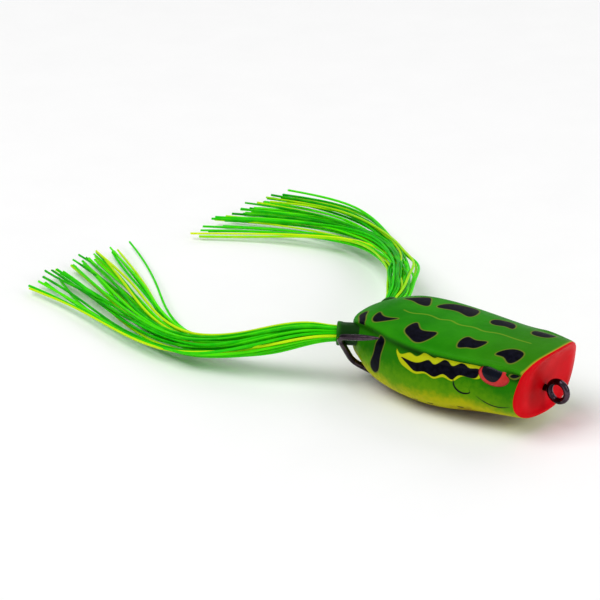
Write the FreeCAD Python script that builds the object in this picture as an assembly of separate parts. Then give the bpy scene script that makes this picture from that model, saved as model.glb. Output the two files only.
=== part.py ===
import FreeCAD, Part
import math
import os

# Topwater popper: a hollow soft-plastic frog with a cupped face, a double hook and two skirt legs.
# Millimetres. The origin is the centre of the line-tie eye. +X points forwards out of the mouth,
# +Y to the frog's left and +Z up. The belly's lowest point is BELLY_DEPTH below the origin.

V = FreeCAD.Vector

# ---- Driving dimensions ----------------------------------------------------------------------
BELLY_DEPTH = 9.5          # the eye stands this far above the surface that the belly rests on
WALL = 1.6                 # soft-plastic wall of the hollow body
BACK_DROP = 1.5            # the back falls this much from its middle to its side ridges
RIDGE_SHARE = 0.87         # the ridge's distance from the middle, as a share of the half-width
SIDES = {"right": -1, "left": 1}

# Body stations, rear to front: distance along X, half-width, top, bottom, and how much the ridge is rounded off.
BODY_STATIONS = [
    (-57.6, 2.6, 4.4, -1.8, 0.0),
    (-56.2, 5.4, 6.0, -3.6, 0.0),
    (-53.0, 8.3, 7.9, -5.6, 0.0),
    (-48.8, 10.7, 9.2, -7.6, 0.0),
    (-43.0, 12.9, 9.7, -8.9, 0.1),
    (-36.0, 14.3, 9.7, -9.4, 0.4),
    (-29.0, 14.6, 9.7, -BELLY_DEPTH, 0.7),
    (-22.0, 14.0, 9.75, -8.7, 0.8),
    (-15.0, 13.0, 9.9, -7.5, 0.8),
    (-7.5, 12.0, 10.3, -6.7, 1.0),
    (-1.6, 11.7, 10.45, -5.9, 1.4),
    (4.0, 11.6, 10.4, -5.3, 1.5),
]

FACE_X = -1.6              # the mouth's face at mid-height
FACE_RADIUS = 36.0         # the face is rounded in plan
FACE_LEAN = 10.5           # degrees that the upper lip leans forwards
FACE_MIDDLE_Z = 2.2
FACE_DEPTH = 12.0          # the face's roundness reaches no further back than this
ROOM = 80.0                # larger than the body, for the solids that trim it
HOLLOW_SHIFT = 0.6         # the hollow's sections sit this far ahead of the body's own
# Dish in the face: distance ahead of the face, and the body's section there as a share of the face's.
DISH_STEPS = [(1.2, 0.96), (0.0, 0.90), (-0.9, 0.80), (-1.4, 0.62), (-1.65, 0.42), (-1.75, 0.22)]

EYE_RING_R = 2.36          # line-tie eye: radius of the wire's centre line
EYE_WIRE_R = 0.76
EYE_BORE_R = 1.70
WIRE_R = 0.76              # hook wire
NOSE_HOLE_R = 0.88         # the soft nose grips the neck here, and the hook turns in it
NOSE_LIP_X, NOSE_BACK_X = -4.8, -6.4
NOSE_BACK_R = 1.9          # behind the lip, the hole opens out
NECK_END_X = -7.0          # the eye's straight neck ends here, in the braze
BRAZE_FRONT_X, BRAZE_REAR_X = -6.5, -15.2
BRAZE_R, BRAZE_END_R, BRAZE_TAPER = 1.62, 0.95, 1.0
BRAZE_FRONT_Z, BRAZE_REAR_Z = -0.1, -0.4
POINT_LENGTH = 5.5         # taper of the hook's point
POINT_PROFILE = [(0, 0), (0, WIRE_R), (3.2, 0.5), (POINT_LENGTH, 0.04), (POINT_LENGTH, 0)]
BARB_START, BARB_LENGTH = 1.0, 3.0    # along the point, from where its taper starts
BARB_HEIGHT, BARB_THICKNESS, BARB_RAKE = 0.5, 0.5, 0.5
BARB_SIDE = (0.0, -1.0, -1.0)         # the barb stands towards the shank, left side

# Right hook's route; the left one mirrors it.
HOOK_ROUTE = [
    (-7.1, 0.79, 0.0), (-15.0, 0.80, -0.5), (-28.0, 0.98, -3.1), (-43.5, 1.5, -6.3),
    (-49.3, 3.5, -8.45), (-54.0, 8.0, -4.4), (-53.6, 13.6, 3.9), (-41.2, 13.4, 6.8),
]
HOOK_RADII = [30.0, 40.0, 22.0, 7.0, 5.2, 2.3]

SLOT_FRONT_X, SLOT_REAR_X = -25.0, -52.5
SLOT_FRONT_HALF, SLOT_REAR_HALF = 2.9, 4.6
SLOT_TOP_Z = -3.0
SLOT_CORNER_R = 1.4

KEEL_FRONT_X, KEEL_REAR_X = -27.5, -37.5
KEEL_FRONT_Z, KEEL_REAR_Z = -3.05, -4.95
KEEL_R = 2.3
KEEL_END_R, KEEL_NOSE, KEEL_TAIL = 1.6, 1.2, 2.2

EYE_CENTRE = (-9.5, 10.95, 5.2)
EYE_SEMI_AXES = (4.3, 1.25, 2.4)
EYE_TILT = 14.0            # degrees that the eye faces upwards
EYE_NOSE_TURN = 5.0        # degrees that the eye faces forwards

COLLAR_BASE = (-54.2, 8.0, 2.6)   # where the collar's axis leaves the body, left side
COLLAR_AXIS = (-0.79, 0.58, 0.05)
COLLAR_OUT, COLLAR_IN = 3.5, 3.2  # length outside and inside that point
COLLAR_R, COLLAR_BORE_R = 2.75, 2.2   # the collar and, behind it, the band fill one hole in the body
BAND_LENGTH = 1.6
CORE_R = 1.8
CORE_IN_BAND, CORE_STRAIGHT = 2.4, 4.0   # lengths either side of the collar's inner end
CORE_BOW = 4.0                    # the core's middle passes this far in front of its ends
ROOT_BALL_R = 2.14
ROOT_STEM_R = 1.2
ROOT_NECK = (1.45, 1.55)          # distance from the ball's centre, radius
ROOT_END = (5.0, 2.75)

STRAND_R = 0.34
STRAND_PITCH = 0.84
STRAND_RINGS = 3                  # one strand in the middle and three rings round it
STRAND_LEAD = 1.6                 # straight length where a strand leaves the bunch
LIME_EVERY = 4
GOLDEN = 0.618034

# Direction in which each leg's bunch leaves its collar; the left leg is kicked outwards.
LEG_AXIS = {"right": (-0.80, -0.59, 0.0), "left": (-0.37, 0.93, 0.0)}

# Leg centre lines: x, y, z, half-width of the fan and half-height of the fan.
LEG_KNOTS = {
    "right": [
        (-67.5, -16.6, 1.2, 3.4, 3.2), (-78.0, -20.7, -2.2, 4.2, 3.0), (-91.5, -23.3, -5.0, 4.8, 2.4),
        (-109.0, -20.0, -6.4, 7.0, 1.8), (-133.0, -10.0, -7.2, 12.5, 1.5), (-160.5, 1.0, -7.6, 19.0, 1.2),
    ],
    "left": [
        (-63.5, 22.3, 2.4, 3.1, 3.0), (-72.0, 33.2, 1.0, 3.3, 2.8), (-84.0, 45.2, -1.4, 3.8, 2.6),
        (-100.5, 57.0, -4.2, 6.0, 2.2), (-124.0, 63.5, -6.4, 14.5, 1.6), (-152.0, 58.0, -7.6, 22.0, 1.2),
    ],
}
TIP_AIM = (-1.0, 0.0, 0.0)        # the fans' ends are cut square across the lure
TIP_STAGGER = 5.0                 # tips end up to this far short of the last knot


# ---- Small helpers ---------------------------------------------------------------------------
def save(shape, node):
    """Writes one node and prints its volume."""
    if isinstance(shape, list):
        shape = Part.makeCompound(shape)
    shape.exportStep(f"parts/{node}.step")
    print(f"{node:28s} solids {len(shape.Solids):3d} volume {shape.Volume:9.2f} valid {shape.isValid()}")


def mirrored(point, side):
    """A point given for the left side, moved to the named side."""
    x, y, z = point
    return V(x, y * SIDES[side], z)


def rounded_path(points, radii=None):
    """Straight runs joined by tangent arcs, through a list of corner points."""
    edges = []
    start = points[0]
    for i in range(1, len(points) - 1):
        before, corner, after = points[i - 1], points[i], points[i + 1]
        a, b = corner - before, after - corner
        turn = a.getAngle(b)
        tangent = 0.45 * min(a.Length, b.Length)
        if radii:
            tangent = min(tangent, radii[i - 1] * math.tan(turn / 2))
        a.normalize()
        b.normalize()
        first, last = corner - a * tangent, corner + b * tangent
        radius = tangent / math.tan(turn / 2)
        bow = radius * (1 / math.cos(turn / 2) - 1)
        inward = b - a
        inward.normalize()
        edges.append(Part.LineSegment(start, first).toShape())
        edges.append(Part.Arc(first, corner + inward * bow, last).toShape())
        start = last
    edges.append(Part.LineSegment(start, points[-1]).toShape())
    return Part.Wire(edges)


def tube(points, radius, radii=None):
    """A round bar along a rounded path."""
    path = rounded_path(points, radii)
    circle = Part.Wire([Part.makeCircle(radius, points[0], points[1] - points[0])])
    return path.makePipeShell([circle], True, False)


def turned(profile, centre, axis):
    """A solid of revolution; profile lists distance along the axis and radius."""
    wire = Part.makePolygon([V(r, 0, d) for d, r in profile] + [V(profile[0][1], 0, profile[0][0])])
    solid = Part.Face(wire).revolve(V(0, 0, 0), V(0, 0, 1), 360)
    solid.Placement = FreeCAD.Placement(centre, FreeCAD.Rotation(V(0, 0, 1), axis))
    return solid


# ---- Body ------------------------------------------------------------------------------------
def section_wire(x, half_width, top, bottom, rounding, scale=1.0):
    """One D-shaped section: a low flat back, side ridges, bulging flanks and a round belly."""
    height = top - bottom
    drop = min(BACK_DROP, 0.28 * height)
    ridge = RIDGE_SHARE * half_width
    half = [
        (0, top),
        (0.45 * ridge, top - 0.10 * (drop + rounding)),
        (0.82 * ridge, top - 0.42 * drop - 0.6 * rounding),
        (ridge, top - drop - rounding),
        (ridge + 0.45 * (half_width - ridge), top - drop - 0.16 * height),
        (half_width, bottom + 0.50 * height),
        (0.93 * half_width, bottom + 0.25 * height),
        (0.66 * half_width, bottom + 0.07 * height),
        (0.30 * half_width, bottom + 0.01 * height),
        (0, bottom),
    ]
    outline = half + [(-y, z) for y, z in half[-2:0:-1]]
    middle = (top + bottom) / 2
    points = [V(x, y * scale, middle + (z - middle) * scale) for y, z in outline]
    curve = Part.BSplineCurve()
    curve.interpolate(Points=points, PeriodicFlag=True)
    return Part.Wire([curve.toShape()])


def station_at(x):
    """Half-width, top, bottom and rounding of the body at x, between the stations."""
    for (x0, *a), (x1, *b) in zip(BODY_STATIONS, BODY_STATIONS[1:]):
        if x0 <= x <= x1:
            share = (x - x0) / (x1 - x0)
            return [p + (q - p) * share for p, q in zip(a, b)]
    return list(BODY_STATIONS[-1][1:])


def outer_form():
    """The body's outside, with its front cut to the rounded, leaning face."""
    form = Part.makeLoft([section_wire(*s) for s in BODY_STATIONS], True, False)
    lean = math.radians(FACE_LEAN)
    up = V(math.sin(lean), 0, math.cos(lean))
    centre = V(FACE_X, 0, FACE_MIDDLE_Z) - V(math.cos(lean), 0, -math.sin(lean)) * FACE_RADIUS
    nose = Part.makeCylinder(FACE_RADIUS, ROOM, centre - up * (ROOM / 2), up)
    rear = Part.makeBox(ROOM, ROOM, ROOM, V(FACE_X - FACE_DEPTH - ROOM, -ROOM / 2, -ROOM / 2))
    return form.common(nose.fuse(rear))


def dish_form():
    """The scoop in the face: shallow at its sides, deeper under the upper lip, and leaning like the face."""
    face_section = station_at(FACE_X)
    wires = [section_wire(ahead, *face_section, share) for ahead, share in DISH_STEPS]
    dish = Part.makeLoft(wires, True, False)
    lean = FreeCAD.Matrix()
    lean.A13 = math.tan(math.radians(FACE_LEAN))
    lean.A14 = FACE_X - lean.A13 * FACE_MIDDLE_Z
    return dish.transformGeometry(lean)


def hollow_form():
    """The empty inside of the body, behind the nose."""
    wires = []
    stations = [(x + HOLLOW_SHIFT, *sizes) for x, *sizes in BODY_STATIONS[1:9]]
    stations.append((NOSE_BACK_X, *station_at(NOSE_BACK_X)))
    for x, half_width, top, bottom, rounding in stations:
        wires.append(section_wire(x, half_width - WALL, top - WALL, bottom + WALL, rounding))
    return Part.makeLoft(wires, True, False)


def nose_passage():
    """The hole through the nose: a lip that grips the neck, opening out into the hollow."""
    length = NOSE_LIP_X - NOSE_BACK_X
    mouth = Part.makeCylinder(NOSE_HOLE_R, FACE_X - NOSE_LIP_X, V(NOSE_LIP_X, 0, 0), V(1, 0, 0))
    return mouth.fuse(Part.makeCone(NOSE_BACK_R, NOSE_HOLE_R, length, V(NOSE_BACK_X, 0, 0), V(1, 0, 0)))


def belly_slot():
    """The slot that the hook drops out of, wider at the rear where the wires part."""
    outline = [
        V(SLOT_FRONT_X, -SLOT_FRONT_HALF, 0), V(SLOT_FRONT_X, SLOT_FRONT_HALF, 0),
        V(SLOT_REAR_X, SLOT_REAR_HALF, 0), V(SLOT_REAR_X, -SLOT_REAR_HALF, 0),
    ]
    face = Part.Face(Part.makePolygon(outline + outline[:1]))
    slot = face.extrude(V(0, 0, -BELLY_DEPTH))
    slot = slot.makeFillet(SLOT_CORNER_R, [e for e in slot.Edges if abs(e.tangentAt(e.FirstParameter).z) > 0.9])
    slot.translate(V(0, 0, SLOT_TOP_Z))
    return slot


def eyeball(side):
    """One glossy eye, a flat ellipsoid set into the flank."""
    ball = Part.makeSphere(1.0)
    stretch = FreeCAD.Matrix()
    stretch.scale(*EYE_SEMI_AXES)
    ball = ball.transformGeometry(stretch)
    ball.rotate(V(0, 0, 0), V(1, 0, 0), EYE_TILT * SIDES[side])
    ball.rotate(V(0, 0, 0), V(0, 0, 1), -EYE_NOSE_TURN * SIDES[side])
    ball.translate(mirrored(EYE_CENTRE, side))
    return ball


def body_shell():
    shell = outer_form().cut([dish_form(), hollow_form(), belly_slot(), nose_passage()])
    for side in SIDES:
        shell = shell.cut([collar_blank(side), band_blank(side), eyeball(side)])
    return max(shell.Solids, key=lambda s: s.Volume)


# ---- Hook ------------------------------------------------------------------------------------
def line_tie_eye():
    """The ring in front of the mouth, with the neck that the wires are brazed to."""
    ring = Part.makeTorus(EYE_RING_R, EYE_WIRE_R, V(0, 0, 0), V(0, 1, 0))
    neck = Part.makeCylinder(EYE_WIRE_R, -EYE_RING_R - NECK_END_X, V(NECK_END_X, 0, 0), V(1, 0, 0))
    bore = Part.makeCylinder(EYE_BORE_R, 4, V(0, -2, 0), V(0, 1, 0))
    return ring.fuse(neck).cut(bore).Solids[0]


def hook_bar(side):
    """One hook wire from the eye to where its point starts to taper."""
    route = [mirrored(p, side) for p in HOOK_ROUTE]
    forwards = route[-1] - route[-2]
    forwards.normalize()
    route[-1] = route[-1] - forwards * POINT_LENGTH
    return tube(route, WIRE_R, HOOK_RADII)


def hook_wire(side):
    """One hook wire with its tapered point and its barb."""
    tip, corner = mirrored(HOOK_ROUTE[-1], side), mirrored(HOOK_ROUTE[-2], side)
    forwards = tip - corner
    forwards.normalize()
    base = tip - forwards * POINT_LENGTH
    point = turned(POINT_PROFILE, base, forwards)
    shankwards = mirrored(BARB_SIDE, side)
    inwards = shankwards - forwards * forwards.dot(shankwards)
    inwards.normalize()
    heel = base + forwards * BARB_START
    spur = heel + inwards * (WIRE_R + BARB_HEIGHT) - forwards * BARB_RAKE
    barb = Part.Face(Part.makePolygon([heel, heel + forwards * BARB_LENGTH, spur, heel]))
    across = forwards.cross(inwards) * BARB_THICKNESS
    barb = barb.extrude(across)
    barb.translate(across * -0.5)
    return hook_bar(side).fuse([point, barb]).removeSplitter().Solids[0]


def shank_braze():
    """Braze that joins the two wires and the eye's neck, where they pass through the nose."""
    rear = V(BRAZE_REAR_X, 0, BRAZE_REAR_Z)
    slope = V(BRAZE_FRONT_X, 0, BRAZE_FRONT_Z) - rear
    length = slope.Length
    profile = [(0, 0), (0, BRAZE_END_R), (BRAZE_TAPER, BRAZE_R), (length - BRAZE_TAPER, BRAZE_R),
               (length, BRAZE_END_R), (length, 0)]
    blank = turned(profile, rear, slope)
    return blank.cut([hook_bar(side) for side in SIDES] + [line_tie_eye()]).Solids[0]


def keel_weight():
    """Lead weight moulded round both shanks, low in the hollow."""
    start = V(KEEL_FRONT_X, 0, KEEL_FRONT_Z)
    slope = V(KEEL_REAR_X, 0, KEEL_REAR_Z) - start
    length = slope.Length
    profile = [(0, 0), (0, KEEL_END_R), (KEEL_NOSE, KEEL_R), (length - KEEL_TAIL, KEEL_R), (length, KEEL_END_R),
               (length, 0)]
    weight = turned(profile, start, slope)
    return weight.cut([hook_bar(side) for side in SIDES])


# ---- Legs ------------------------------------------------------------------------------------
def collar_axis(side):
    axis = mirrored(COLLAR_AXIS, side)
    axis.normalize()
    return axis


def leg_axis(side):
    axis = V(*LEG_AXIS[side])
    axis.normalize()
    return axis


def collar_mouth(side):
    return mirrored(COLLAR_BASE, side) + collar_axis(side) * COLLAR_OUT


def collar_blank(side):
    return Part.makeCylinder(COLLAR_R, COLLAR_IN + COLLAR_OUT, collar_heel(side), collar_axis(side))


def leg_collar(side):
    """Short soft tube that a leg comes out of."""
    axis = collar_axis(side)
    bore = Part.makeCylinder(COLLAR_BORE_R, 20, collar_mouth(side) - axis * 10, axis)
    return collar_blank(side).cut(bore)


def collar_heel(side):
    """Centre of the collar's inner end."""
    return mirrored(COLLAR_BASE, side) - collar_axis(side) * COLLAR_IN


def core_points():
    """Route of the strands inside the body, from one collar across to the other."""
    inner = [collar_heel(s) + collar_axis(s) * CORE_IN_BAND for s in SIDES]
    bend = [collar_heel(s) - collar_axis(s) * CORE_STRAIGHT for s in SIDES]
    middle = (bend[0] + bend[1]) * 0.5 + V(CORE_BOW, 0, 0)
    return [inner[0], bend[0], middle, bend[1], inner[1]]


def band_blank(side):
    return Part.makeCylinder(COLLAR_R, BAND_LENGTH, collar_heel(side), -collar_axis(side))


def leg_band(side):
    """Rubber band that keeps the strands from pulling out through their collar."""
    hole = Part.makeCylinder(CORE_R, 4 * BAND_LENGTH, collar_heel(side) + collar_axis(side), -collar_axis(side))
    return band_blank(side).cut(hole)


def leg_root(side):
    """The pinched bunch of strands at the collar's mouth: a ball that turns in the bore, then a cone."""
    centre, axis = collar_mouth(side), leg_axis(side)
    ball = Part.makeSphere(ROOT_BALL_R, centre)
    cone = turned([(0, 0), (0, ROOT_STEM_R), ROOT_NECK, ROOT_END, (ROOT_END[0], 0)], centre, axis)
    return ball.fuse(cone).removeSplitter().Solids[0]


def strand_seats():
    """Places of the strands in the bunch, as a hexagon: across, upwards, in strand pitches."""
    seats = []
    for row in range(-STRAND_RINGS, STRAND_RINGS + 1):
        count = 2 * STRAND_RINGS + 1 - abs(row)
        for column in range(count):
            seats.append((column - (count - 1) / 2, row * math.sqrt(3) / 2))
    return seats


def strand_route(side, index, across, upwards):
    """Corner points of one strand, from its seat in the bunch to its tip in the fan."""
    axis = leg_axis(side)
    sideways = V(0, 0, 1).cross(axis)
    sideways.normalize()
    seat = collar_mouth(side) + axis * ROOT_END[0]
    seat += sideways * (across * STRAND_PITCH) + axis.cross(sideways) * (upwards * STRAND_PITCH)
    centres = [collar_mouth(side) + axis * ROOT_END[0]] + [V(*k[:3]) for k in LEG_KNOTS[side]]
    centres.append(centres[-2] + V(*TIP_AIM) * 1000)
    route = [seat, seat + axis * STRAND_LEAD]
    for i, (x, y, z, half_width, half_height) in enumerate(LEG_KNOTS[side], start=1):
        along = centres[i + 1] - centres[i - 1]
        along.z = 0
        along.normalize()
        place = V(x, y, z) + V(0, 0, 1).cross(along) * (across / STRAND_RINGS * half_width)
        place += V(0, 0, 1) * (upwards / STRAND_RINGS * half_height)
        if i == len(LEG_KNOTS[side]):
            place -= along * (TIP_STAGGER * ((index * GOLDEN) % 1.0))
        route.append(place)
    return route


def leg_strands(side):
    """All strands of one leg, sorted by colour."""
    colours = {"green": [], "lime": []}
    for index, (across, upwards) in enumerate(strand_seats()):
        colour = "lime" if index % LIME_EVERY == 1 else "green"
        colours[colour].append(tube(strand_route(side, index, across, upwards), STRAND_R))
    return colours


# ---- Build -----------------------------------------------------------------------------------
os.makedirs("parts", exist_ok=True)
save(body_shell(), "body_shell")
save(line_tie_eye(), "line_tie_eye")
save(shank_braze(), "shank_braze")
save(keel_weight(), "keel_weight")
save(tube(core_points(), CORE_R), "leg_core")
for name in SIDES:
    save(eyeball(name), f"{name}_eye")
    save(hook_wire(name), f"{name}_hook_wire")
    save(leg_collar(name), f"{name}_leg_collar")
    save(leg_band(name), f"{name}_leg_band")
    save(leg_root(name), f"{name}_leg_root")
    for shade, strands in leg_strands(name).items():
        save(strands, f"{name}_leg_{shade}_strands")
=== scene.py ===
import math

import bpy
import numpy as np
from mathutils import Matrix, Vector


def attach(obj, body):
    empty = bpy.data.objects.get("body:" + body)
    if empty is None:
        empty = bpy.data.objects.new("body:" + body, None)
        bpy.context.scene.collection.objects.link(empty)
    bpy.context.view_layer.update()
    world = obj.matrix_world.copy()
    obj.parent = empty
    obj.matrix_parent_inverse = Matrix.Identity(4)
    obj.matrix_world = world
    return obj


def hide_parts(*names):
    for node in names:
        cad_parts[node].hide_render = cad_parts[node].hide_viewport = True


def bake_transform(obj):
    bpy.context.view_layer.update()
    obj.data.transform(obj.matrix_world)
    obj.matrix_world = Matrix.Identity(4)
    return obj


# Topwater popper: a hollow soft-plastic frog with a scooped red face, a double hook and two skirt legs.
# Sizes are millimetres in the lure's frame, and MM turns them into metres when a mesh is made.

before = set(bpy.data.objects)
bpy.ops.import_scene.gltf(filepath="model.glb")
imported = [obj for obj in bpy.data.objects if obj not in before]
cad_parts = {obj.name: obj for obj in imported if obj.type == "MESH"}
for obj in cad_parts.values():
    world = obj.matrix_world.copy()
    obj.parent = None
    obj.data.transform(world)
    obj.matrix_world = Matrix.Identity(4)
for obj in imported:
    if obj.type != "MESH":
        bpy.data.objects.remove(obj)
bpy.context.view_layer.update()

MM = 0.001
SIDES = {"right": -1, "left": 1}
random = np.random.default_rng(11)

# ---- Body sizes ----
WALL = 1.6
BACK_DROP, DROP_SHARE = 1.5, 0.28  # from the middle of the back to its ridges, at most this share of the height
RIDGE_SHARE = 0.87                 # distance between the ridges, as a share of the width
AROUND = 320                       # mesh columns round the body
ROW_STEP = 0.28
TAIL_ROUND = 0.7                   # how far the rounded tail reaches behind the first station
TURN_X = -12.0                     # from here forwards, the mesh rows turn to lie along the face

# Body stations, rear to front: distance along X, half-width, top, bottom, and how much the ridge is rounded.
BODY_STATIONS = np.array([
    (-57.6, 2.6, 4.4, -1.8, 0.0),
    (-56.2, 5.4, 6.0, -3.6, 0.0),
    (-53.0, 8.3, 7.9, -5.6, 0.0),
    (-48.8, 10.7, 9.2, -7.6, 0.0),
    (-43.0, 12.9, 9.7, -8.9, 0.1),
    (-36.0, 14.3, 9.7, -9.4, 0.4),
    (-29.0, 14.6, 9.7, -9.5, 0.7),
    (-22.0, 14.0, 9.75, -8.7, 0.8),
    (-15.0, 13.0, 9.9, -7.5, 0.8),
    (-7.5, 12.0, 10.3, -6.7, 1.0),
    (-1.6, 11.7, 10.45, -5.9, 1.4),
    (4.0, 11.6, 10.4, -5.3, 1.5),
])
FACE_X, FACE_MIDDLE_Z = -1.6, 2.2
FACE_RADIUS = 36.0
FACE_LEAN = math.radians(10.5)
LIP_ROUND = 0.5
# Dish in the face: share of the face's section, and how far ahead of the face the dish is there.
DISH_STEPS = np.array([
    (0.0, -1.77), (0.22, -1.75), (0.42, -1.65), (0.62, -1.4),
    (0.80, -0.9), (0.90, 0.0), (0.96, 1.2), (1.0, 2.2),
])
DISH_SOFTNESS = 0.3
NOSE_HOLE_R, NOSE_BACK_R = 0.88, 1.9
NOSE_START = (-3.0, 0, 0)
# Hole through the nose: distance back from its start, and radius.
NOSE_PASSAGE = [(0, NOSE_HOLE_R), (1.8, NOSE_HOLE_R), (3.4, NOSE_BACK_R), (5.0, NOSE_BACK_R)]
HOLLOW_FRONT_X = -6.4
SLOT = [(-25.0, -2.9), (-25.0, 2.9), (-52.5, 4.6), (-52.5, -4.6)]
SLOT_CORNER, SLOT_HEIGHTS = 1.6, (-13.0, -3.0)
FLOOR_Z = -9.5

# The ridge and brow stand out, the groove under them is sunk in, and the lid over the eye stands out again.
RIDGE_OUT, BROW_OUT = 0.30, 0.45
GROOVE_IN, GROOVE_LESS = 0.60, 0.25
LID_OUT = 0.85
BROW_X, BROW_SPREAD = -9.5, 5.5
LID_X, LID_SPREAD = -7.8, 2.9
TAIL_FADE, FRONT_FADE = (-56.0, -50.0), (-4.0, -1.0)

# ---- Hook, eye, collar and leg sizes ----
WIRE_R = 0.76
HOOK_ROUTE = [
    (-7.1, 0.79, 0.0), (-15.0, 0.80, -0.5), (-28.0, 0.98, -3.1), (-43.5, 1.5, -6.3),
    (-49.3, 3.5, -8.45), (-54.0, 8.0, -4.4), (-53.6, 13.6, 3.9), (-41.2, 13.4, 6.8),
]
HOOK_RADII = [30.0, 40.0, 22.0, 7.0, 5.2, 2.3]
POINT_LENGTH, POINT_CURVE, TIP_SIZE = 5.5, 0.45, 0.05
BARB_HEIGHT, BARB_RAKE = 0.45, 0.5
BARB_SPAN = [1.6, 4.2, 4.5]        # the barb's start, highest place and end, measured from the tip
BARB_NARROWING = 6
BARB_SIDE = (0.0, -1.0, -1.0)      # the barb stands towards the shank, left side
EYE_RING_R, EYE_WIRE_R = 2.36, 0.76
NECK_END_X = -7.0
# Turned forms: distance along the axis, and radius.
NECK_PROFILE = [(0, 1.15), (0.35, 0.92), (0.8, 0.80), (1.3, EYE_WIRE_R),
                (-EYE_RING_R - NECK_END_X, EYE_WIRE_R)]
BRAZE_PROFILE = [(0, 0.3), (0.25, 0.9), (1.2, 1.60), (7.5, 1.60), (8.45, 0.9), (8.7, 0.3)]
BRAZE_START, BRAZE_AXIS = (-15.2, 0, -0.4), (8.7, 0, 0.3)
KEEL_PROFILE = [(0, 0.3), (0.15, 1.4), (1.2, 2.28), (8.0, 2.28), (10.0, 1.5), (10.18, 0.3)]
KEEL_START, KEEL_AXIS = (-27.5, 0, -3.05), (-10.0, 0, -1.9)
EYE_CENTRE = (-9.6, 11.0, 5.2)
EYE_SEMI_AXES = (4.5, 1.45, 2.55)
EYE_TILT, EYE_TURN = math.radians(14), math.radians(-5)
COLLAR_BASE = (-54.2, 8.0, 2.6)
COLLAR_AXIS = (-0.79, 0.58, 0.05)
COLLAR_OUT, COLLAR_IN = 3.5, 3.2
COLLAR_R, COLLAR_BORE_R = 2.75, 2.2
SOCKET_BEHIND, SOCKET_LENGTH = 1.6, 9.0   # the collar's hole in the shell, from behind the collar's heel

STRAND_R = 0.33
STRAND_PITCH = 0.84
BORE_PITCH, MOUTH_PITCH, BUNCH_PITCH = 0.66 * STRAND_PITCH, 0.70 * STRAND_PITCH, 0.92 * STRAND_PITCH
STRAND_RINGS = 3
LIME_EVERY = 4
GOLDEN = 0.618034
ROOT_LENGTH = 5.0
TIP_STAGGER = 5.0
CLUMPS, CLUMP_PULL = 8, 0.6        # the fan's strands lie in this many clumps
STRAY_EVERY = 5                    # one strand in this many crosses to another's place in the fan
WAVES, WAVE_RATES, WAVE_HEIGHT = 3, (0.4, 1.3), 0.8
LIFT, LIFT_RATE = 0.35, 1.3
BOWS = [-1.9, 0, 0, 0, 0, 1.9]     # a strand may bow out of the bunch by one of these
LEG_AXIS = {"right": (-0.80, -0.59, 0.0), "left": (-0.37, 0.93, 0.0)}
# Leg centre lines: x, y, z, half-width of the fan and half-height of the fan.
LEG_KNOTS = {
    "right": [
        (-67.5, -16.6, 1.2, 3.4, 3.2), (-78.0, -20.7, -2.2, 4.2, 3.0), (-91.5, -23.3, -5.0, 4.8, 2.4),
        (-109.0, -20.0, -6.4, 7.0, 1.8), (-133.0, -10.0, -7.2, 12.5, 1.5), (-160.5, 1.0, -7.6, 19.0, 1.2),
    ],
    "left": [
        (-63.5, 22.3, 2.4, 3.1, 3.0), (-72.0, 33.2, 1.0, 3.3, 2.8), (-84.0, 45.2, -1.4, 3.8, 2.6),
        (-100.5, 57.0, -4.2, 6.0, 2.2), (-124.0, 63.5, -6.4, 14.5, 1.6), (-152.0, 58.0, -7.6, 22.0, 1.2),
    ],
}

# ---- Painted pattern ----
# Black spots on the back, as x and y.
BACK_SPOTS = [
    [(-53.0, -5.7), (-52.2, -4.9), (-50.1, -7.5), (-48.8, -10.1), (-50.0, -10.3), (-51.5, -8.2)],
    [(-47.5, -7.4), (-47.5, -5.5), (-45.2, -6.9), (-41.2, -6.4), (-43.4, -8.8), (-45.4, -9.9)],
    [(-36.3, -10.1), (-36.9, -8.2), (-36.2, -5.8), (-33.2, -7.9), (-29.2, -7.2), (-30.0, -11.6),
     (-31.2, -12.3),
     (-33.8, -11.6)],
    [(-21.0, -9.8), (-22.2, -7.6), (-21.6, -5.2), (-19.2, -5.6), (-16.4, -5.0), (-17.3, -8.5), (-19.2, -9.0)],
    [(-11.4, -8.5), (-9.8, -5.8), (-7.5, -5.1), (-5.5, -5.9), (-5.4, -8.3), (-7.0, -9.6), (-9.3, -8.6)],
    [(-47.8, 4.4), (-46.0, 7.0), (-43.7, 8.9), (-41.7, 6.8), (-40.2, 3.2), (-42.6, 3.1), (-45.3, 4.0)],
    [(-37.9, 4.4), (-37.4, 8.6), (-34.0, 10.5), (-30.6, 10.6), (-28.5, 4.3), (-32.0, 5.2), (-35.2, 4.9)],
    [(-22.3, 4.4), (-23.0, 7.1), (-21.4, 8.2), (-17.2, 7.2), (-16.2, 4.4), (-18.2, 4.7), (-20.4, 4.0)],
    [(-10.8, 4.6), (-11.5, 7.0), (-9.0, 7.6), (-5.6, 6.8), (-6.1, 4.5), (-8.3, 3.8)],
    [(-53.0, 5.7), (-52.2, 4.9), (-50.1, 7.5), (-48.8, 10.1), (-50.0, 10.3), (-51.5, 8.2)],
]
MIDLINE = [(-43.0, -1.9), (-40.4, -2.3), (-37.7, -1.1), (-34.9, -0.9), (-32.6, -1.2), (-30.7, -0.3),
           (-27.8, -1.0),
           (-23.2, -0.3), (-20.5, -0.8), (-18.1, -0.1), (-12.5, -0.4), (-7.1, -0.9)]
MIDLINE_WIDTH = 0.45

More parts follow.
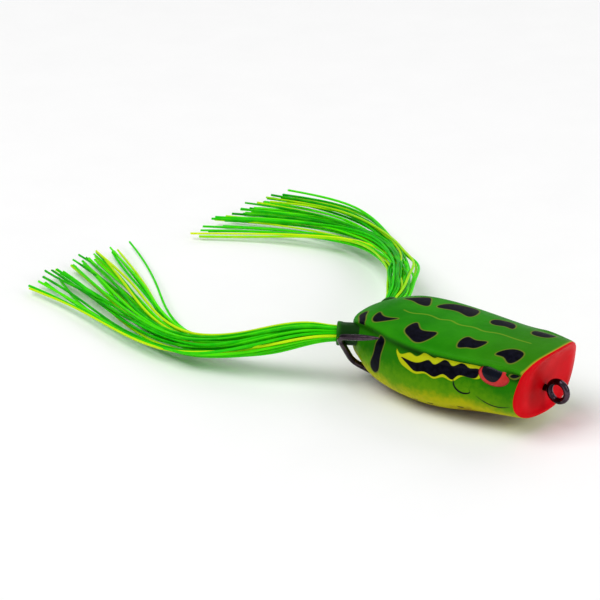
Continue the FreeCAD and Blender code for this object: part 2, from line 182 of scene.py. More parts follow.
# On the flanks, as x and z: the zigzag band, the yellow field round it and thin drawn lines.
ZIGZAG = [
    (-34.8, 4.0), (-31.2, 3.8), (-28.4, 4.5), (-26.8, 5.1), (-25.2, 4.6), (-22.7, 6.0), (-20.5, 5.2),
    (-18.3, 6.2),
    (-16.4, 5.6), (-13.6, 5.6), (-13.6, 4.4), (-16.8, 3.6), (-18.9, 3.2), (-19.9, 2.2), (-22.3, 2.9),
    (-24.6, 1.8),
    (-27.5, 2.3), (-29.9, 1.8), (-32.4, 2.8),
]
YELLOW_FIELD = [
    (-36.6, 5.4), (-35.4, 4.7), (-32.6, 5.4), (-30.2, 5.2), (-28.2, 6.5), (-25.7, 5.8), (-23.6, 7.2),
    (-21.0, 6.9),
    (-18.0, 7.0), (-13.4, 6.5), (-12.8, 4.2), (-14.7, 3.5), (-17.8, 3.3), (-19.9, 1.8), (-22.4, 2.2),
    (-24.8, 1.3),
    (-27.2, 1.9), (-29.4, 1.3), (-32.6, 1.8), (-35.2, 3.1),
]
CURL = [(-19.7, 2.4), (-19.3, 0.9), (-17.8, -0.3), (-16.1, -0.3), (-15.2, 0.3), (-15.6, 0.9)]
SMILE = [(-13.7, -0.4), (-12.0, -1.4), (-9.2, -2.2), (-7.0, -1.9), (-5.2, -1.2)]
NOSTRIL = [(-5.5, 6.3), (-4.4, 6.0), (-3.0, 7.1), (-4.6, 6.8)]
REAR_STRIPE = [(-42.0, 6.6), (-40.9, 5.4), (-41.2, 3.0), (-42.4, -2.2), (-44.3, -2.8), (-45.0, -1.7),
               (-44.0, 1.4), (-43.2, 5.2)]
BELLY_MARKS = [(-31.6, -6.3), (-27.2, -6.1), (-18.9, -4.9)]
MARK_HALF = 0.9
CURL_WIDTH, SMILE_WIDTH, MARK_WIDTH = 0.55, 0.42, 0.5
PAINT_REACH = 3.0                  # distances to a painted edge are stored up to this
EYE_PUPIL = [
    (-12.7, 6.3), (-12.0, 5.1), (-10.4, 4.2), (-8.8, 4.3), (-7.7, 5.3), (-7.3, 6.6), (-8.4, 8.0),
    (-11.6, 8.0),
]


# ---- Curves ----
def spline_at(knots, values, at, closed=False):
    """Cubic spline through values at the knots, read elsewhere. A closed one ends as it starts."""
    knots, values, at = (np.asarray(x, float) for x in (knots, values, at))
    gaps = np.diff(knots)
    slopes = np.diff(values, axis=0) / gaps[:, None]
    count = len(gaps)
    matrix, right = np.eye(count + 1), np.zeros((count + 1, values.shape[1]))
    for i in range(1, count):
        matrix[i, i - 1:i + 2] = gaps[i - 1], 2 * (gaps[i - 1] + gaps[i]), gaps[i]
        right[i] = 6 * (slopes[i] - slopes[i - 1])
    if closed:
        matrix[0, count] = -1
        matrix[count, [1, count - 1]] = gaps[0], gaps[-1]
        matrix[count, 0] += 2 * gaps[0]
        matrix[count, count] = 2 * gaps[-1]
        right[count] = 6 * (slopes[0] - slopes[-1])
    bends = np.linalg.solve(matrix, right)
    k = np.clip(np.searchsorted(knots, at, side="right") - 1, 0, count - 1)
    u, gap = ((at - knots[k]) / gaps[k])[..., None], gaps[k][..., None]
    straight = (1 - u) * values[k] + u * values[k + 1]
    return straight + gap ** 2 / 6 * (((1 - u) ** 3 - (1 - u)) * bends[k] + (u ** 3 - u) * bends[k + 1])


def through(points, samples, closed=False):
    """Points along a smooth curve through the given ones."""
    points = np.asarray(points, float)
    if closed:
        points = np.vstack([points, points[:1]])
    knots = np.concatenate([[0], np.cumsum(np.linalg.norm(np.diff(points, axis=0), axis=1))])
    return spline_at(knots, points, np.linspace(0, knots[-1], samples, endpoint=not closed), closed)


def unit(vector):
    vector = np.asarray(vector, float)
    return vector / np.linalg.norm(vector, axis=-1, keepdims=True)


def sided(point, side):
    """A point given for the left side, moved to the named side."""
    return np.array(point, float) * (1, SIDES[side], 1)


def collar_axis(side):
    return unit(sided(COLLAR_AXIS, side))


def collar_mouth(side):
    return sided(COLLAR_BASE, side) + collar_axis(side) * COLLAR_OUT


def rounded_route(corners, radii, step=0.35):
    """Points along straight runs joined by tangent arcs."""
    corners = [np.array(c, float) for c in corners]
    pieces, start = [], corners[0]
    for i in range(1, len(corners) - 1):
        before, corner, after = corners[i - 1:i + 2]
        reach = 0.45 * min(np.linalg.norm(corner - before), np.linalg.norm(after - corner))
        a, b = unit(corner - before), unit(after - corner)
        turn = math.acos(np.clip(a @ b, -1, 1))
        tangent = min(reach, radii[i - 1] * math.tan(turn / 2))
        radius = tangent / math.tan(turn / 2)
        centre = corner + unit(b - a) * radius / math.cos(turn / 2)
        first = corner - a * tangent
        count = max(2, int(np.linalg.norm(first - start) / step))
        pieces.append(np.linspace(start, first, count, endpoint=False))
        out = unit(first - centre)
        angles = np.linspace(0, turn, max(3, int(turn * radius / step)), endpoint=False)[:, None]
        pieces.append(centre + radius * (np.cos(angles) * out + np.sin(angles) * a))
        start = corner + b * tangent
    pieces.append(np.linspace(start, corners[-1], max(2, int(np.linalg.norm(corners[-1] - start) / step))))
    return np.vstack(pieces)


# ---- Meshes ----
def grid_faces(rows, columns, capped=True):
    """Quads between rings of points, with a face over each open end if it is capped."""
    faces = []
    for i in range(rows - 1):
        for j in range(columns):
            k = (j + 1) % columns
            faces.append((i * columns + j, i * columns + k, (i + 1) * columns + k, (i + 1) * columns + j))
    if capped:
        faces.append(tuple(range(columns))[::-1])
        faces.append(tuple((rows - 1) * columns + j for j in range(columns)))
    return faces


def mesh_piece(name, points, faces, materials, face_materials=None, sharp=40):
    """A mesh object from points in millimetres, smooth except across sharp edges."""
    mesh = bpy.data.meshes.new(name)
    mesh.from_pydata((np.asarray(points) * MM).tolist(), [], faces)
    for material in materials:
        mesh.materials.append(material)
    if face_materials is not None:
        mesh.polygons.foreach_set("material_index", face_materials)
    finish_mesh(mesh, sharp)
    piece = bpy.data.objects.new(name, mesh)
    bpy.context.scene.collection.objects.link(piece)
    return piece


def finish_mesh(mesh, sharp):
    mesh.shade_smooth()
    mesh.set_sharp_from_angle(angle=math.radians(sharp))
    mesh.update()


def store(mesh, name, values):
    """A number for each point of a mesh, for its material to read."""
    attribute = mesh.attributes.new(name, "FLOAT", "POINT")
    attribute.data.foreach_set("value", np.asarray(values, np.float32))


def swept(route, ring, sizes=None, turn=0.0, twist=0.0):
    """Rings of points along a route. sizes scales each ring, and turn and twist spin them."""
    route = np.asarray(route, float)
    ahead = unit(np.gradient(route, axis=0))
    across = np.cross(ahead[0], (0.0, 0.0, 1.0) if abs(ahead[0][2]) < 0.9 else (1.0, 0.0, 0.0))
    rows = []
    for i, (place, forward) in enumerate(zip(route, ahead)):
        across = unit(across - forward * (across @ forward))
        up = np.cross(forward, across)
        angle = twist * i / len(route) + turn
        side_on = math.cos(angle) * across + math.sin(angle) * up
        upright = math.cos(angle) * up - math.sin(angle) * across
        size = 1.0 if sizes is None else sizes[i]
        rows.append(place + size * (ring[:, :1] * side_on + ring[:, 1:] * upright))
    return np.array(rows)


def round_ring(radius, count=16):
    angles = np.arange(count) * 2 * math.pi / count
    return radius * np.stack([np.cos(angles), np.sin(angles)], axis=-1)


def lathed(profile, centre, axis, around=48):
    """Rings turned about an axis; profile lists distance along the axis and radius."""
    axis = unit(axis)
    across = unit(np.cross(axis, (0.0, 0.0, 1.0)))
    up = np.cross(axis, across)
    angles = np.arange(around) * 2 * math.pi / around
    rim = np.cos(angles)[:, None] * across + np.sin(angles)[:, None] * up
    return np.array([np.asarray(centre, float) + axis * along + rim * radius for along, radius in profile])


# ---- Materials ----
def colour(red, green, blue):
    """A screen colour, 0 to 255, as the light that a material takes."""
    screen = np.array([red, green, blue]) / 255
    linear = np.where(screen <= 0.04045, screen / 12.92, ((screen + 0.055) / 1.055) ** 2.4)
    return (*linear, 1.0)


class Finish:
    """One material. Each method adds a node and returns the socket to use next."""

    def __init__(self, name, base, **surface):
        self.material = bpy.data.materials.new(name)
        self.material.use_nodes = True
        self.tree = self.material.node_tree
        self.shader = self.tree.nodes["Principled BSDF"]
        self.shader.inputs["Base Color"].default_value = base
        for socket, value in surface.items():
            self.shader.inputs[socket.replace("_", " ")].default_value = value

    def set(self, node, socket, value):
        if isinstance(value, bpy.types.NodeSocket):
            self.tree.links.new(value, node.inputs[socket])
        else:
            node.inputs[socket].default_value = value

    def attribute(self, name):
        node = self.tree.nodes.new("ShaderNodeAttribute")
        node.attribute_name = name
        return node.outputs["Fac"]

    def place(self):
        return self.tree.nodes.new("ShaderNodeTexCoord").outputs["Object"]

    def coordinate(self, axis):
        node = self.tree.nodes.new("ShaderNodeSeparateXYZ")
        self.set(node, 0, self.place())
        return node.outputs[axis]

    def noise(self, scale, detail=3.0):
        node = self.tree.nodes.new("ShaderNodeTexNoise")
        self.set(node, "Vector", self.place())
        node.inputs["Scale"].default_value = scale
        node.inputs["Detail"].default_value = detail
        return node.outputs["Fac"]

    def ramp(self, value, start, end, low=0.0, high=1.0):
        """Rises smoothly from low to high as value goes from start to end."""
        node = self.tree.nodes.new("ShaderNodeMapRange")
        node.interpolation_type = "SMOOTHSTEP"
        for socket, number in (("Value", value), ("From Min", start), ("From Max", end), ("To Min", low),
                               ("To Max", high)):
            self.set(node, socket, number)
        return node.outputs["Result"]

    def math(self, operation, first, second=0.0):
        node = self.tree.nodes.new("ShaderNodeMath")
        node.operation = operation
        self.set(node, 0, first)
        self.set(node, 1, second)
        return node.outputs["Value"]

    def mix(self, share, first, second):
        node = self.tree.nodes.new("ShaderNodeMix")
        node.data_type = "RGBA"
        self.set(node, 0, share)
        self.set(node, 6, first)
        self.set(node, 7, second)
        return node.outputs[2]

    def base(self, socket):
        self.set(self.shader, "Base Color", socket)

    def roughness(self, socket):
        self.set(self.shader, "Roughness", socket)

    def bump(self, height, strength, distance):
        node = self.tree.nodes.new("ShaderNodeBump")
        node.inputs["Strength"].default_value = strength
        node.inputs["Distance"].default_value = distance
        self.set(node, "Height", height)
        self.set(self.shader, "Normal", node.outputs["Normal"])


def body_paint():
    """Airbrushed greens over yellow, with masked black spots, outlined in tan; painted shade in the groove
    under the ridge and along the lowest belly, and a painted highlight on the ridge.
    """
    f = Finish("body_paint", colour(40, 130, 8), Specular_IOR_Level=0.03)
    mist = f.noise(900.0, 6.0)
    cloud = f.noise(95.0, 4.0)
    level = f.math("ADD", f.attribute("level"), f.ramp(cloud, 0.3, 0.7, -0.05, 0.05))
    level = f.math("ADD", level, f.ramp(mist, 0.3, 0.7, -0.03, 0.03))
    # Painted shade: the lowest belly turns brownish, for the shade under the body.
    belly = f.mix(f.ramp(level, 0.03, 0.16), colour(136, 108, 6), colour(184, 184, 4))
    flank = f.mix(f.ramp(level, 0.18, 0.42), belly, colour(92, 150, 4))
    flank = f.mix(f.ramp(level, 0.38, 0.66), flank, colour(34, 116, 2))
    back = f.mix(f.ramp(cloud, 0.25, 0.75), colour(24, 120, 0), colour(44, 142, 8))
    front = f.ramp(f.coordinate("X"), -0.030, -0.004)
    back = f.mix(f.math("MULTIPLY", front, 0.45), back, colour(60, 116, 14))
    body = f.mix(f.attribute("cap"), flank, back)
    # Painted shade: the groove under the ridge is darkened to deep green.
    body = f.mix(f.attribute("groove"), body, colour(12, 60, 0))
    # Painted highlight: a lighter green band along the ridge's crest.
    body = f.mix(f.math("MULTIPLY", f.attribute("crest_highlight"), 0.4), body, colour(50, 156, 10))
    stripe = f.ramp(f.attribute("midline"), 0.16, -0.10, 0.0, 0.55)
    body = f.mix(stripe, body, colour(132, 158, 34))
    body = f.mix(f.ramp(f.attribute("field"), 0.05, -0.18), body, colour(184, 192, 14))
    body = f.mix(f.ramp(f.attribute("spots"), 0.42, 0.24, 0.0, 0.8), body, colour(108, 116, 36))
    ink = f.mix(f.ramp(mist, 0.35, 0.7), colour(4, 4, 12), colour(14, 14, 28))
    body = f.mix(f.ramp(f.attribute("spots"), 0.08, -0.10), body, ink)
    body = f.mix(f.ramp(f.attribute("drawn"), 0.08, -0.10), body, ink)
    body = f.mix(f.math("MULTIPLY", f.attribute("lip"), 0.85), body, colour(164, 164, 40))
    f.base(body)
    f.roughness(f.ramp(mist, 0.2, 0.8, 0.36, 0.52))
    f.bump(mist, 0.25, 0.00006)
    return f.material


def cup_paint():
    f = Finish("cup_paint", colour(205, 8, 24), Specular_IOR_Level=0.04)
    cloud = f.noise(160.0, 4.0)
    mist = f.noise(1100.0, 5.0)
    red = f.mix(f.ramp(cloud, 0.3, 0.75), colour(204, 2, 14), colour(224, 8, 26))
    # Painted shade in the dish: darker red where the face is sunk deeper, most of all on the lure's right side.
    shaded = f.ramp(f.ramp(cloud, 0.3, 0.7), 0.0, 1.0, 0.55, 0.85)
    f.base(f.mix(f.math("MULTIPLY", f.attribute("hollow"), shaded), red, colour(128, 0, 0)))
    f.roughness(f.ramp(mist, 0.2, 0.8, 0.32, 0.46))
    f.bump(mist, 0.2, 0.00005)
    return f.material


def bare_plastic():
    f = Finish("bare_plastic", colour(150, 160, 40), Roughness=0.45, Subsurface_Weight=0.15,
               Subsurface_Scale=0.002)
    f.base(f.mix(f.noise(240.0), colour(132, 142, 28), colour(170, 178, 60)))
    f.bump(f.noise(700.0), 0.2, 0.00006)
    return f.material


def eye_gloss():
    """Black pupil over a red iris, under clear gloss."""
    f = Finish("eye_gloss", colour(180, 40, 40), Specular_IOR_Level=0.15, Roughness=0.2)
    red = f.mix(f.noise(800.0, 4.0), colour(176, 18, 22), colour(214, 60, 56))
    red = f.mix(f.ramp(f.attribute("rim"), 0.0, 0.55), colour(96, 12, 10), red)
    pupil = f.mix(f.noise(500.0), colour(3, 4, 10), colour(10, 16, 32))
    f.base(f.mix(f.ramp(f.attribute("pupil"), 0.06, -0.08), red, pupil))
    f.bump(f.noise(1500.0), 0.05, 0.00003)
    return f.material


def black_nickel():
    f = Finish("black_nickel", colour(72, 62, 70), Metallic=1.0, Roughness=0.22)
    scuff = f.noise(420.0, 6.0)
    f.base(f.mix(f.ramp(scuff, 0.3, 0.75), colour(30, 24, 32), colour(90, 74, 86)))
    f.roughness(f.ramp(scuff, 0.25, 0.8, 0.12, 0.28))
    f.bump(f.noise(1600.0, 4.0), 0.12, 0.00004)
    return f.material


def dull_braze():
    f = Finish("dull_braze", colour(150, 138, 118), Metallic=1.0, Roughness=0.45)
    f.base(f.mix(f.noise(500.0, 5.0), colour(96, 84, 74), colour(176, 164, 140)))
    f.bump(f.noise(700.0, 5.0), 0.5, 0.00015)
    return f.material


def cast_lead():
    f = Finish("cast_lead", colour(96, 98, 104), Metallic=0.9, Roughness=0.55)
    f.base(f.mix(f.noise(260.0, 6.0), colour(70, 72, 78), colour(128, 130, 136)))
    f.bump(f.noise(420.0, 6.0), 0.6, 0.0002)
    return f.material


def collar_plastic():
    f = Finish("collar_plastic", colour(16, 62, 8), Specular_IOR_Level=0.12, Roughness=0.4)
    cloud = f.noise(300.0, 4.0)
    green = f.mix(cloud, colour(8, 44, 2), colour(18, 68, 6))
    f.base(f.mix(f.attribute("edge"), green, colour(30, 106, 12)))
    f.bump(f.noise(900.0, 4.0), 0.25, 0.00006)
    return f.material


def band_rubber():
    f = Finish("band_rubber", colour(20, 20, 20), Roughness=0.6)
    f.base(f.mix(f.noise(600.0), colour(14, 14, 14), colour(34, 34, 34)))
    f.bump(f.noise(1200.0), 0.3, 0.00006)
    return f.material


def strand_rubber(name, deep, mid, bright):
    """Glossy dyed silicone rubber; each strand has its own shade."""
    f = Finish(name, mid, Specular_IOR_Level=0.06, Subsurface_Weight=0.15, Subsurface_Scale=0.0012)
    shade = f.attribute("shade")
    fine = f.noise(260.0, 3.0)
    tone = f.mix(f.ramp(shade, 0.0, 0.5), deep, mid)
    tone = f.mix(f.ramp(shade, 0.5, 1.0), tone, bright)
    tone = f.mix(f.ramp(fine, 0.35, 0.75, 0.0, 0.35), tone, bright)
    f.base(tone)
    f.roughness(f.ramp(fine, 0.2, 0.8, 0.32, 0.48))
    f.bump(f.noise(1400.0, 3.0), 0.2, 0.00005)
    return f.material


def floor_paper():
    f = Finish("floor_paper", colour(250, 250, 250), Roughness=0.9)
    f.base(f.mix(f.noise(60.0), colour(249, 249, 249), colour(253, 253, 253)))
    return f.material


BODY_MATERIALS = [body_paint(), cup_paint(), bare_plastic()]
PAINTED, CUPPED, BARE = range(3)


# ---- Body ----
def station(x):
    """Half-width, top, bottom and rounding of the body at each x."""
    return spline_at(BODY_STATIONS[:, 0], BODY_STATIONS[:, 1:], x)


def section_corners(x, inset):
    """The points that the body's D-shaped section passes through, for each x."""
    half_width, top, bottom, rounding = station(x).T
    half_width, top, bottom = half_width - inset, top - inset, bottom + inset
    height = top - bottom
    drop = np.minimum(BACK_DROP, DROP_SHARE * height)
    ridge = RIDGE_SHARE * half_width
    half = [
        (0 * x, top),
        (0.45 * ridge, top - 0.10 * (drop + rounding)),
        (0.82 * ridge, top - 0.42 * drop - 0.6 * rounding),
        (ridge, top - drop - rounding),
        (ridge + 0.45 * (half_width - ridge), top - drop - 0.16 * height),
        (half_width, bottom + 0.50 * height),
        (0.93 * half_width, bottom + 0.25 * height),
        (0.66 * half_width, bottom + 0.07 * height),
        (0.30 * half_width, bottom + 0.01 * height),
        (0 * x, bottom),
    ]
    return np.array(half + [(-y, z) for y, z in half[-2:0:-1]]), (top + bottom) / 2


def round_the_section():
    """Each corner's weight at each mesh column, and each column's distance below the ridge."""
    corners = section_corners(np.array([-29.0]), 0.0)[0][:, :, 0]
    ring = np.vstack([corners, corners[:1]])
    knots = np.concatenate([[0], np.cumsum(np.linalg.norm(np.diff(ring, axis=0), axis=1))])
    places = np.linspace(0, knots[-1], AROUND, endpoint=False)
    identity = np.vstack([np.eye(len(corners)), np.eye(len(corners))[:1]])
    below_ridge = np.minimum(places, knots[-1] - places) - knots[3]
    return spline_at(knots, identity, places, closed=True), below_ridge


COLUMN_WEIGHTS, BELOW_RIDGE = round_the_section()


def section(x, inset=0.0, scale=1.0):
    """One ring of the body; each column may have its own x."""
    x = np.broadcast_to(np.asarray(x, float), AROUND)
    corners, middle = section_corners(x, inset)
    y, z = np.einsum("jk,kcj->cj", COLUMN_WEIGHTS, corners)
    return np.stack([x, y * scale, middle + (z - middle) * scale], axis=-1)


def face_x(y, z):
    """The mouth's face, which is rounded in plan and leans forwards."""
    forwards = np.sqrt(FACE_RADIUS ** 2 - y ** 2) - FACE_RADIUS + FACE_X * math.cos(FACE_LEAN)
    return (forwards + (z - FACE_MIDDLE_Z) * math.sin(FACE_LEAN)) / math.cos(FACE_LEAN)


def rim_x():
    """Where each column meets the face."""
    x = np.full(AROUND, FACE_X)
    for _ in range(8):
        x = face_x(*section(x)[:, 1:].T)
    return x


def scooped_x(y, z, share):
    """The face with its dish, which meets it in a soft edge."""
    dish = spline_at(DISH_STEPS[:, 0], DISH_STEPS[:, 1:], np.array([share]))[0, 0]
    dish = dish + FACE_X + (z - FACE_MIDDLE_Z) * math.tan(FACE_LEAN)
    return -DISH_SOFTNESS * np.log(np.exp(-face_x(y, z) / DISH_SOFTNESS) + np.exp(-dish / DISH_SOFTNESS))


def bell(value, middle, width):
    return np.exp(-((value - middle) / width) ** 2)


def fade(value, start, end):
    """Rises smoothly from 0 at start to 1 at end."""
    share = np.clip((value - start) / (end - start), 0, 1)
    return share * share * (3 - 2 * share)


def sculpted(row):
    """Pushes a ring out along the ridge and brow and in along the groove under them."""
    x = row[:, 0]
    outward = np.roll(row, -1, axis=0) - np.roll(row, 1, axis=0)
    outward = unit(np.stack([0 * x, -outward[:, 2], outward[:, 1]], axis=-1))
    if outward[0, 2] < 0:
        outward = -outward
    ends = fade(x, *TAIL_FADE) * (1 - fade(x, *FRONT_FADE))
    brow = bell(x, BROW_X, BROW_SPREAD)
    push = (RIDGE_OUT + BROW_OUT * brow) * bell(BELOW_RIDGE, 0.1, 0.8)
    push -= (GROOVE_IN - GROOVE_LESS * brow) * bell(BELOW_RIDGE, 1.9, 0.75)
    push += LID_OUT * bell(x, LID_X, LID_SPREAD) * bell(BELOW_RIDGE, 0.5 + 0.30 * np.clip(x + 12, 0, 8), 0.8)
    return row + outward * (push * ends)[:, None]


def body_rings():
    """Every ring of the outside, the lip and the dish, and the material of each."""
    rim = rim_x()
    rings, painted = [], []

    def add(row, material):
        rings.append(row)
        painted.append(material)

    tail = section(BODY_STATIONS[0, 0])
    centre = np.array([tail[0, 0], 0, tail[:, 2].mean()])
    for angle in np.radians([2, 15, 30, 45, 60, 75]):
        shrunk = centre + (tail - centre) * math.sin(angle)
        shrunk[:, 0] -= TAIL_ROUND * math.cos(angle)
        add(shrunk, PAINTED)
    for x in np.arange(BODY_STATIONS[0, 0], TURN_X, ROW_STEP):
        add(sculpted(section(x)), PAINTED)
    for share in np.linspace(0, 1, 42):
        add(sculpted(section(TURN_X + (rim - LIP_ROUND - TURN_X) * share)), PAINTED)
    for angle in np.radians([10, 20, 30, 40, 50, 60, 70, 80]):
        row = section(rim, inset=LIP_ROUND * (1 - math.cos(angle)))
        row[:, 0] = face_x(row[:, 1], row[:, 2]) - LIP_ROUND * (1 - math.sin(angle))
        add(row, PAINTED if angle < 0.3 else CUPPED)
    edge = section(rim, inset=LIP_ROUND)
    middle = np.array([0, 0, (edge[:, 2].max() + edge[:, 2].min()) / 2])
    inset_share = 1 - LIP_ROUND / np.abs(edge[:, 1]).max()
    for share in np.concatenate([np.linspace(1, 0.7, 34), np.linspace(0.68, 0.02, 40)]):
        row = middle + (edge - middle) * share
        row[:, 0] = scooped_x(row[:, 1], row[:, 2], share * inset_share)
        add(row, CUPPED)
    return np.array(rings), painted


def hollow_piece():
    """The empty inside behind the nose, as a cutter."""
    rings = [section(BODY_STATIONS[1, 0], WALL, 0.8)]
    rings += [section(x, WALL) for x in np.arange(BODY_STATIONS[1, 0] + 0.6, HOLLOW_FRONT_X, 1.2)]
    rings.append(section(HOLLOW_FRONT_X, WALL))
    rings = np.array(rings)[:, ::4]
    return solid_piece("hollow", rings)


def solid_piece(name, rings):
    """A closed solid from rings, used to cut the shell; what it cuts shows bare plastic."""
    rows, columns = rings.shape[:2]
    faces = grid_faces(rows, columns)
    piece = mesh_piece(name, rings.reshape(-1, 3), faces, BODY_MATERIALS, [BARE] * len(faces))
    outward_faces(piece.data)
    return piece


def outward_faces(mesh):
    """Turns a closed mesh's faces to look outwards."""
    volume = 0.0
    for face in mesh.polygons:
        corners = [mesh.vertices[v].co for v in face.vertices]
        for b, c in zip(corners[1:-1], corners[2:]):
            volume += corners[0].dot(b.cross(c))
    if volume < 0:
        mesh.flip_normals()


def slot_piece():
    """The belly slot with its rounded corners, as a cutter."""
    outline = []
    for i, corner in enumerate(SLOT):
        before, after = np.array(SLOT[i - 1]), np.array(SLOT[(i + 1) % 4])
        corner = np.array(corner)
        first, last = (corner + unit(end - corner) * SLOT_CORNER for end in (before, after))
        for share in np.linspace(0, 1, 7):
            outline.append((1 - share) ** 2 * first + 2 * share * (1 - share) * corner + share ** 2 * last)
    outline = np.array(outline)
    rings = [np.column_stack([outline, np.full(len(outline), z)]) for z in SLOT_HEIGHTS]
    return solid_piece("slot", np.array(rings))


def carve(piece, cutters):
    """Cuts solids out of a piece and removes them."""
    for cutter in cutters:
        step = piece.modifiers.new("cut", "BOOLEAN")
        step.operation = "DIFFERENCE"
        step.solver = "EXACT"
        step.object = cutter
    shown = piece.evaluated_get(bpy.context.evaluated_depsgraph_get())
    mesh = bpy.data.meshes.new_from_object(shown)
    piece.modifiers.clear()
    piece.data = mesh
    for cutter in cutters:
        bpy.data.objects.remove(cutter)


def edge_distance(points, outline):
    """Distance from each point to a closed outline, less than 0 inside it."""
    near = np.full(len(points), 99.0)
    inside = np.zeros(len(points), bool)
    for a, b in zip(outline, np.roll(outline, -1, axis=0)):
        run = b - a
        share = np.clip((points - a) @ run / (run @ run), 0, 1)
        near = np.minimum(near, np.linalg.norm(points - a - share[:, None] * run, axis=1))
        crosses = (a[1] > points[:, 1]) != (b[1] > points[:, 1])
        where = a[0] + (points[:, 1] - a[1]) * (b[0] - a[0]) / (b[1] - a[1] + 1e-12)
        inside ^= crosses & (points[:, 0] < where)
    return np.where(inside, -near, near)


def line_distance(points, line, widths):
    """Distance from each point to the edge of a drawn line, less than 0 on it."""
    near = np.full(len(points), 99.0)
    for a, b, wide_a, wide_b in zip(line[:-1], line[1:], widths[:-1], widths[1:]):
        run = b - a
        share = np.clip((points - a) @ run / (run @ run), 0, 1)
        gap = np.linalg.norm(points - a - share[:, None] * run, axis=1)
        near = np.minimum(near, gap - (wide_a + (wide_b - wide_a) * share) / 2)
    return near


def patches(places, on, outlines):
    """Distance to the nearest of some painted patches, over the part of the body that they are on."""
    near = np.full(len(places), PAINT_REACH)
    for points in outlines:
        outline = through(points, 8 * len(points), closed=True)
        low, high = outline.min(0) - 1.5, outline.max(0) + 1.5
        close = on & ((places > low) & (places < high)).all(axis=1)
        near[close] = np.minimum(near[close], edge_distance(places[close], outline))
    return near


def drawn_line(places, on, points, width, taper=0.25):
    """Distance to a smooth line through some points, thinner towards its ends."""
    line = through(points, 40)
    widths = width * (taper + (1 - taper) * np.sin(np.linspace(0.35, math.pi, 40)))
    near = np.full(len(places), PAINT_REACH)
    near[on] = np.minimum(PAINT_REACH, line_distance(places[on], line, widths))
    return near


def paint_body(mesh):
    """Stores how far each point is from each painted edge."""
    points = np.zeros(len(mesh.vertices) * 3)
    mesh.vertices.foreach_get("co", points)
    points = points.reshape(-1, 3) / MM
    x, y, z = points.T
    half_width, top, bottom, rounding = station(x).T
    height = top - bottom
    ridge_z = top - np.minimum(BACK_DROP, DROP_SHARE * height) - rounding
    cap = fade(z, ridge_z - 1.2, ridge_z - 0.2)
    on_back = z > ridge_z - 1.0
    store(mesh, "cap", cap)
    store(mesh, "level", (z - bottom) / height + 0.14 * fade(x, -18, -4))
    ends = fade(x, *TAIL_FADE)
    # Where the painted shade in the groove under the ridge goes.
    store(mesh, "groove", ends * bell(z, ridge_z - 1.7, 0.9) * (0.4 + 0.6 * fade(x, -44, -30)))
    # Where the painted highlight along the ridge's crest goes.
    store(mesh, "crest_highlight", ends * bell(z, ridge_z - 0.1, 0.45) * (abs(y) > 0.8 * half_width))
    store(mesh, "lip", fade(x - face_x(y, z), -0.85, -0.6) * fade(z, ridge_z - 1.5, ridge_z))
    # Painted shade in the dish: how deep each point lies behind the face, weighted to the right side.
    sunk = face_x(y, z) - x
    store(mesh, "hollow", fade(sunk, 0.4, 1.5) * fade(-y, -2.0, 7.0))

    plan = points[:, :2]
    flank = points[:, [0, 2]]
    on_flank = ~on_back
    spots = patches(plan, on_back, BACK_SPOTS)
    stripe = patches(flank, on_flank, [REAR_STRIPE, NOSTRIL])
    store(mesh, "spots", np.minimum(spots, stripe))
    drawn = patches(flank, on_flank, [ZIGZAG])
    drawn = np.minimum(drawn, drawn_line(flank, on_flank, CURL, CURL_WIDTH))
    drawn = np.minimum(drawn, drawn_line(flank, on_flank, SMILE, SMILE_WIDTH))
    for mark_x, mark_z in BELLY_MARKS:
        dash = [(mark_x - MARK_HALF, mark_z - 0.1), (mark_x, mark_z - 0.25), (mark_x + MARK_HALF, mark_z)]
        drawn = np.minimum(drawn, drawn_line(flank, on_flank, dash, MARK_WIDTH))
    store(mesh, "drawn", drawn)
    store(mesh, "field", patches(flank, on_flank, [YELLOW_FIELD]))
    store(mesh, "midline", drawn_line(plan, on_back, MIDLINE, MIDLINE_WIDTH, 0.7))


def body_shell():
    rings, painted = body_rings()
    rows, columns = rings.shape[:2]
    faces = grid_faces(rows, columns)
    indexes = np.concatenate([np.repeat(painted[:-1], columns), [0, 1]])
    shell = mesh_piece("soft_body", rings.reshape(-1, 3), faces, BODY_MATERIALS, indexes)
    outward_faces(shell.data)
    nose = solid_piece("nose", lathed(NOSE_PASSAGE, NOSE_START, (-1, 0, 0), 40))
    sockets = []
    for side in SIDES:
        axis = collar_axis(side)
        heel = sided(COLLAR_BASE, side) - axis * (COLLAR_IN + SOCKET_BEHIND)
        route = [heel, heel + axis * SOCKET_LENGTH]
        sockets.append(solid_piece("socket", swept(route, round_ring(COLLAR_R, 48))))
    carve(shell, [hollow_piece(), slot_piece(), nose, *sockets])
    finish_mesh(shell.data, 50)
    paint_body(shell.data)
    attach(shell, "lure_body")
    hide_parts("body_shell")


# ---- Eyes ----
def eyeball(side, material):
    """A low glossy dome that looks out from under the brow."""
    rows, columns = 48, 96
    polar = np.linspace(0.02, math.pi - 0.02, rows)
    round_x = np.arange(columns) * 2 * math.pi / columns
    rings = np.stack([
        np.sin(polar)[:, None] * np.cos(round_x),
        np.cos(polar)[:, None] * np.ones(columns),
        np.sin(polar)[:, None] * np.sin(round_x),
    ], axis=-1) * EYE_SEMI_AXES
    tilt = Matrix.Rotation(EYE_TILT, 3, "X")
    turn = Matrix.Rotation(EYE_TURN, 3, "Z")
    points = rings.reshape(-1, 3) @ np.array(turn @ tilt).T + EYE_CENTRE
    pupil = edge_distance(points[:, [0, 2]], through(EYE_PUPIL, 80, closed=True))
    rim = (1 - np.linalg.norm(rings.reshape(-1, 3)[:, [0, 2]] / np.array(EYE_SEMI_AXES)[[0, 2]], axis=1)) * 2.5
    faces = grid_faces(rows, columns)
    piece = mesh_piece(f"{side}_eyeball", points * (1, SIDES[side], 1), faces, [material], sharp=80)
    outward_faces(piece.data)
    store(piece.data, "pupil", pupil)
    store(piece.data, "rim", rim)
    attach(piece, "lure_body")
    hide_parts(f"{side}_eye")


